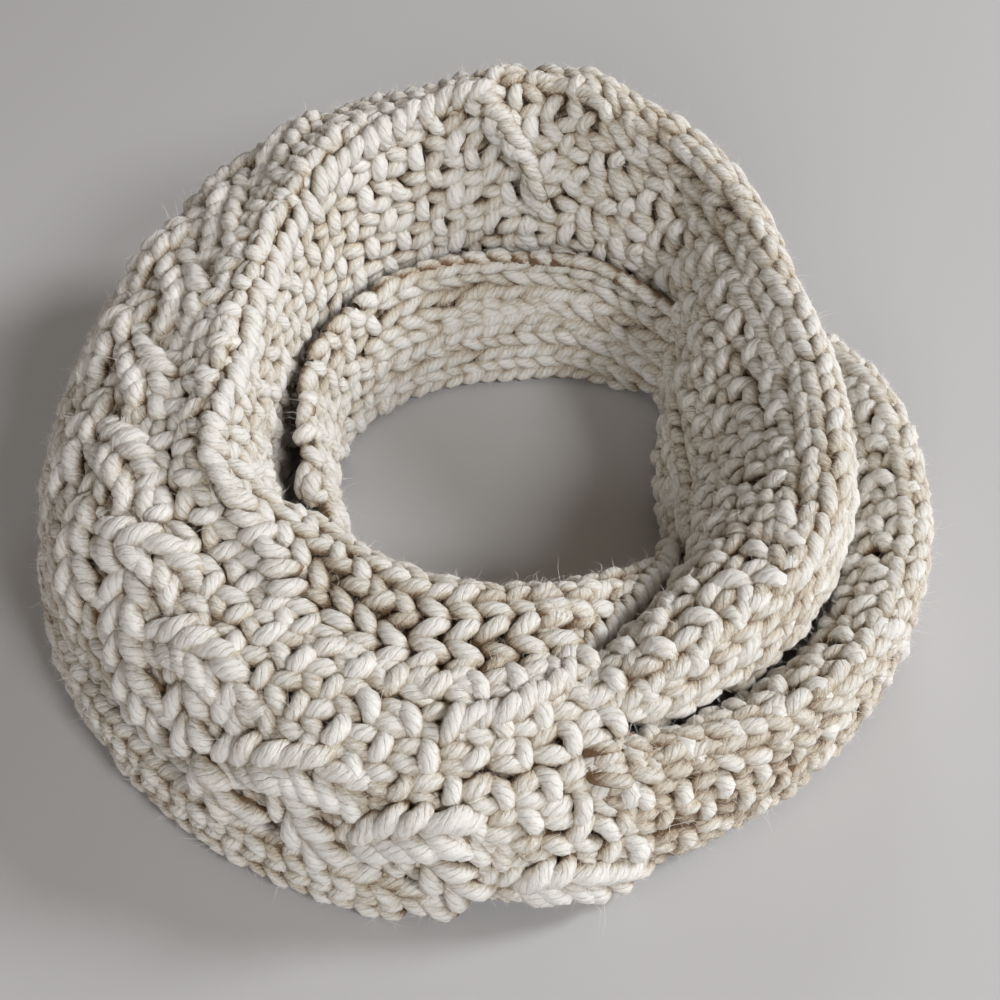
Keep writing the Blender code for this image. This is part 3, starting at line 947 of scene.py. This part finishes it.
# painted shade: the backing's dark brown stands for the shade deep in the gaps between stitches
backing_painted_shade = finish("wool_backing_painted_shade", (0.27, 0.19, 0.12, 1))
tree = backing_painted_shade.node_tree
spot = node(tree, "ShaderNodeTexCoord").outputs["Object"]
clump = noise(tree, spot, CLUMPS, 4.0, 0.62)
dense = node(tree, "ShaderNodeMapRange", (clump, 0.36, 0.66)).outputs[0]
mix = node(tree, "ShaderNodeMix", data_type="RGBA")
tree.links.new(dense, mix.inputs[0])
# two browns of the painted shade, mixed in felt-like clumps
mix.inputs[6].default_value = (0.12, 0.075, 0.04, 1)
mix.inputs[7].default_value = (0.60, 0.50, 0.38, 1)
tree.links.new(mix.outputs[2], tree.nodes["Principled BSDF"].inputs["Base Color"])
relief_node(tree, clump, CLUMP_RELIEF)

# %% [markdown]
# ## Backing cloths
#
# Behind the stitches lies a thin open sheet for each stretch, a little under the CAD's surface. Its
# size laid flat is measured from the same grid.

# %% Sheets
USUAL_DEPTH = 5.5  # millimetres from the CAD's surface in to the cloth
SHEET_DEPTH = {"inside": 4.0, "under": 4.8, "right": 6.8}  # thin walls have less room
SHEET_RIM = {"inside": -7.0}  # a cloth stops short of a hidden rim
SHEET_SPAN = {"under": (180, 248)}  # and before the wall has tapered away
SHEET_INSET = 4.0  # millimetres from the ends of an arch
SHEET_STEP = 2  # degrees
ACROSS_POINTS = 29
OFF_FLOOR = 1.5  # millimetres


def cloth(name, s, first, last, depth):
    """A thin open sheet under part of a surface, and its flat width and length in metres."""
    first, last = SHEET_SPAN.get(s.name, (first, last))
    azimuths = np.arange(first, last + 0.1, (last - first) / round((last - first) / SHEET_STEP))
    low, high = limits(s, azimuths)
    low = low + SHEET_INSET
    high = np.minimum(high - SHEET_INSET, SHEET_RIM.get(s.name, NO_LIMIT))
    shares = np.linspace(0, 1, ACROSS_POINTS)
    a = low[:, None] + (high - low)[:, None] * shares[None]
    at = np.broadcast_to(azimuths[:, None], a.shape)
    points, _ = place(s, at, a, np.full(a.shape, -depth))
    points[..., 2] = np.maximum(points[..., 2], OFF_FLOOR * MM)
    index = np.arange(a.size).reshape(a.shape)
    quads = np.stack([index[:-1, :-1], index[1:, :-1], index[1:, 1:], index[:-1, 1:]], axis=-1)
    quads = quads.reshape(-1, 4)
    points = points.reshape(-1, 3)
    piece = mesh_piece(name, points, quads.reshape(-1), np.full(len(quads), 4))
    piece.data.shade_smooth()
    corners = points[quads]
    diagonals = np.cross(corners[:, 2] - corners[:, 0], corners[:, 3] - corners[:, 1])
    area = 0.5 * np.linalg.norm(diagonals, axis=1).sum()
    width = float((high - low).mean()) * MM
    return piece, (width, float(area / width))


# %% [markdown]
# ## Fuzz
#
# Soft wool sheds a haze of fine hairs, here about fifty on every strand of yarn. Each is one slim
# triangle that stands off the yarn. Some are longer, and bend over half way.

# %% Hairs
HAIRS_PER_STRAND = 53.0
CURLED = 0.18  # share of them that are longer and bent
HAIR_MEDIAN = 1.9  # millimetres
HAIR_SPREAD = 0.45  # of the logarithm of a hair's length
HAIR_LONGEST = 4.5  # millimetres
HAIR_HALF = (0.03, 0.055)  # millimetres, half its width at the root
ROOT_IN = 0.93  # a root lies a little inside the yarn
LEAST_HAIR_Z = 0.3  # millimetres above the floor


def hair_triangles(made):
    """Corners of the hairs on one batch of strands."""
    points, normals, thick, full, height = made
    count = int(len(points) * HAIRS_PER_STRAND)
    which = rng.integers(0, len(points), count)
    spot = rng.integers(1, points.shape[1] - 1, count)
    step = rng.uniform(-0.5, 0.5, count)[:, None]
    along = points[which, spot + 1] - points[which, spot - 1]
    root = points[which, spot] + along * step * 0.5
    along = unit(along)
    normal = normals[which, spot]
    side = np.cross(along, normal)
    tilt = rng.uniform(-1.5, 1.5, count)[:, None]
    out = normal * np.cos(tilt) + side * np.sin(tilt)
    root = root + out * (thick[which] * full[spot])[:, None] * MM * ROOT_IN
    lean = rng.beta(1.2, 2.6, (count, 1)) * 0.9 + 0.05
    run = out * lean + along * rng.normal(0, 0.6, (count, 1)) + rng.normal(0, 0.35, (count, 3))
    run = unit(run)
    long = rng.lognormal(math.log(HAIR_MEDIAN), HAIR_SPREAD, count)
    long = np.minimum(long, HAIR_LONGEST)[:, None] * MM
    flat = np.cross(run, rng.normal(0, 1, (count, 3)))
    flat *= rng.uniform(*HAIR_HALF, (count, 1)) * MM / np.linalg.norm(flat, axis=1, keepdims=True)
    curled = int(count * CURLED)
    tip = root + run * long
    found = [np.stack([root - flat, root + flat, tip], axis=1)[curled:]]
    middle = (root + run * long * 1.2)[:curled]
    bend = (run + rng.normal(0, 0.6, (count, 3)) - out * 0.3)[:curled]
    tip = middle + bend * long[:curled]
    root = root[:curled]
    flat = flat[:curled]
    left = middle - flat * 0.8
    right = middle + flat * 0.8
    for three in ((root - flat, root + flat, left), (root + flat, right, left), (left, right, tip)):
        found.append(np.stack(three, axis=1))
    return found


def fuzz_mesh(name, sets):
    """Fine hairs on all the yarn of a stretch."""
    corners = []
    for made in sets:
        corners += hair_triangles(made)
    corners = np.concatenate(corners)
    corners[..., 2] = np.maximum(corners[..., 2], LEAST_HAIR_Z * MM)
    count = len(corners)
    cells = math.ceil(math.sqrt(count))
    number = np.arange(count)
    corner = np.stack([number % cells, number // cells], axis=-1)[:, None]
    uv = (corner + np.array([(0.1, 0.1), (0.9, 0.1), (0.5, 0.9)])[None]) / cells
    return mesh_piece(name, corners.reshape(-1, 3), np.arange(3 * count), np.full(count, 3),
                      [("OFBake", uv)])


# %% [markdown]
# ## Dress every stretch
#
# Each stretch takes its three pieces: the backing cloth that stands for the CAD's node, and its yarn
# and fuzz. The band is one cloth, so all of them ride on the one body.

# %% Yarn, fuzz and cloth
def triangles_of(piece):
    return sum(len(face.vertices) - 2 for face in piece.data.polygons)


triangles = 0
for name, surface_name, first, last in STRETCHES:
    yarn = tube_mesh("yarn_" + name, batches[name], HIDDEN_SIDES if name == "upper_wrap_back" else SIDES)
    yarn.data.materials.append(wool)
    fuzz = fuzz_mesh("fuzz_" + name, batches[name])
    fuzz.data.materials.append(fuzz_wool)
    depth = SHEET_DEPTH.get(surface_name, USUAL_DEPTH)
    sheet, flat = cloth("cloth_" + name, SURFACES[surface_name], first, last, depth)
    sheet.data.materials.append(backing_painted_shade)
    for piece in (yarn, fuzz, sheet):
        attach(piece, "root")
    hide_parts(name)
    made = triangles_of(yarn) + triangles_of(fuzz)
    triangles += made
    print(name, "flat", [round(x, 3) for x in flat], "triangles", made)
print("triangles in yarn and fuzz", triangles)

# %% [markdown]
# ## Layers inside
#
# The rest of the band is wound up inside the ring, unseen. Plain cloths stand for those layers.

# %% Hidden layers
LAYER_DEPTH = 11.5  # millimetres, well behind the outer cloth
HIDDEN = [("hidden_folds_right", -60, 40), ("hidden_folds_back", 40, 130),
          ("hidden_folds_left", 130, 205), ("hidden_folds_front", 205, 284)]
for name, first, last in HIDDEN:
    sheet, flat = cloth("layers_" + name.split("_")[-1], SURFACES["upper"], first, last, LAYER_DEPTH)
    sheet.data.materials.append(backing_painted_shade)
    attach(sheet, "root")
    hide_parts(name)
    print(name, "flat", [round(x, 3) for x in flat])

# %% [markdown]
# ## Floor
#
# The scarf lies on a plain pale floor, large enough that its edge never shows.

# %% Floor
FLOOR_HALF = 20  # metres
FLOOR_COLOUR = (0.50, 0.50, 0.51, 1)
corners = FLOOR_HALF * np.array([(-1, -1, 0), (1, -1, 0), (1, 1, 0), (-1, 1, 0)])
floor = mesh_piece("floor", corners, np.arange(4), np.array([4]))
floor.data.materials.append(finish("floor_pale", FLOOR_COLOUR, roughness=0.8, specular=0.5, sheen=0.0))

# %% [markdown]
# ## Light
#
# The strongest lamps stand at the right and the front right, so that the left outside and the inside
# of the right wall fall into half shade. A warm dim surround keeps the gaps brown and not black.

# %% Lamps
LAMP_TARGET = (0, 0, 0.05)
WHITE = (1.0, 1.0, 1.0)
COOL = (0.95, 0.98, 1.0)
SURROUND = (1.0, 0.78, 0.57, 1)


def facing(direction):
    """Rotation that turns an object's -Z along a direction, with its Y upward."""
    return Vector(direction).to_track_quat("-Z", "Y").to_euler()


def lamp(name, stands_at, size, power, colour):
    """A round soft lamp, its size in metres and its power in watts."""
    data = bpy.data.lights.new(name, "AREA")
    data.shape = "DISK"
    data.size = size
    data.energy = power
    data.color = colour
    made = bpy.data.objects.new(name, data)
    made.location = stands_at
    made.rotation_euler = facing(np.array(LAMP_TARGET) - np.array(stands_at))
    bpy.context.scene.collection.objects.link(made)


lamp("key", (1.3, -1.4, 1.5), 0.6, 26, WHITE)
lamp("back", (0.5, 2.1, 1.2), 0.7, 8, COOL)
lamp("side", (2.2, 0.3, 1.3), 0.7, 46, WHITE)
lamp("front", (-0.5, -2.1, 1.1), 0.8, 16, WHITE)
world = bpy.data.worlds.new("studio")
world.use_nodes = True
world.node_tree.nodes["Background"].inputs[0].default_value = SURROUND
world.node_tree.nodes["Background"].inputs[1].default_value = 0.12
bpy.context.scene.world = world
bpy.context.scene.view_settings.view_transform = "Standard"
print("lamps", len(bpy.data.lights))

# %% [markdown]
# ## Camera
#
# The camera stands half a metre off and looks down into the ring, as a maker at a table would.

# %% Camera
STANDS_AT = np.array((RING_CENTRE[0], RING_CENTRE[1] - 0.3346, 0.4016))
LOOKS_AT = np.array((RING_CENTRE[0] + 0.0067, RING_CENTRE[1] - 0.0027, 0.0275))
camera_data = bpy.data.cameras.new("camera")
camera_data.lens = 48.1
camera_data.sensor_width = 36
camera_data.clip_start = 0.01
camera = bpy.data.objects.new("camera", camera_data)
camera.location = STANDS_AT
camera.rotation_euler = facing(LOOKS_AT - STANDS_AT)
bpy.context.scene.collection.objects.link(camera)
bpy.context.scene.camera = camera
print("camera at", np.round(STANDS_AT, 3).tolist())
